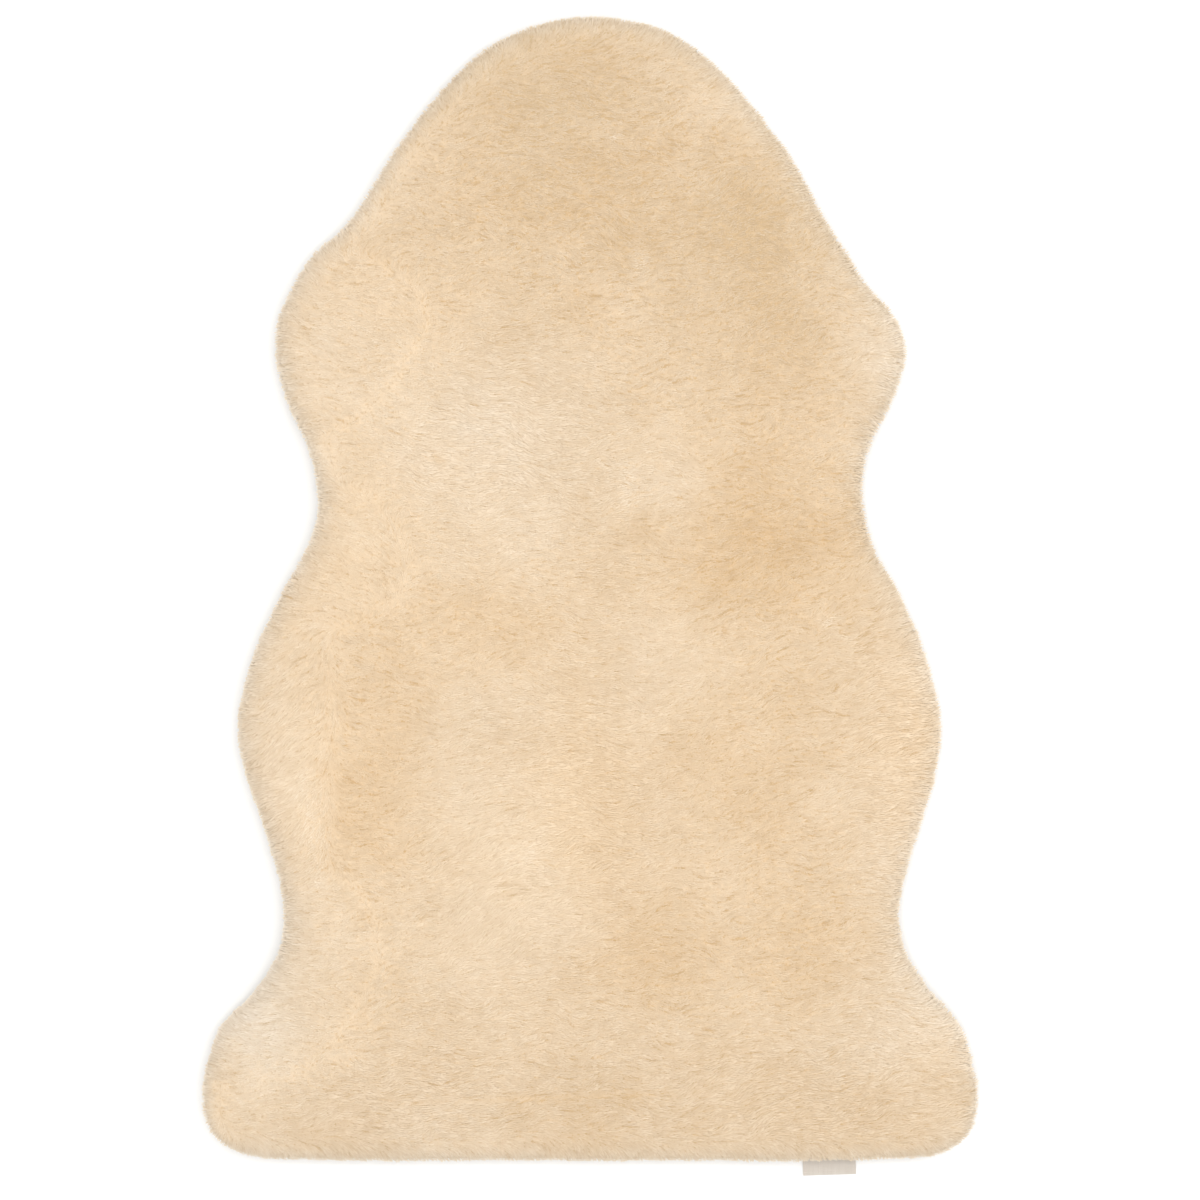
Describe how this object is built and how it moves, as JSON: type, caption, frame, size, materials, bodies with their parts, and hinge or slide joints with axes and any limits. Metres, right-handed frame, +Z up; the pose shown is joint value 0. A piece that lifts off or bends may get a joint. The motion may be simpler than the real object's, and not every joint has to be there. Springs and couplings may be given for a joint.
{
  "type": "sheepskin rug",
  "caption": "Flat shorn sheepskin rug in its natural pelt outline, with a rounded crown, a narrow waist, a straight tail edge and a small folded tape tab.",
  "frame": {"origin": "middle of the underside of the whole rug's box, tab included, on the floor", "axes": "+Y from the tail edge to the crown, +X to the right flank seen from above with the crown away from the viewer, +Z up through the wool"},
  "size_m": [0.6434, 0.9654, 0.0299],
  "materials": {
    "wool": "shorn cream wool pile",
    "tape": "woven off-white cotton tape",
    "skin": "tanned suede underside"
  },
  "bodies": {
    "root": {"pelt": "wool", "tab": "tape"}
  },
  "joints": []
}
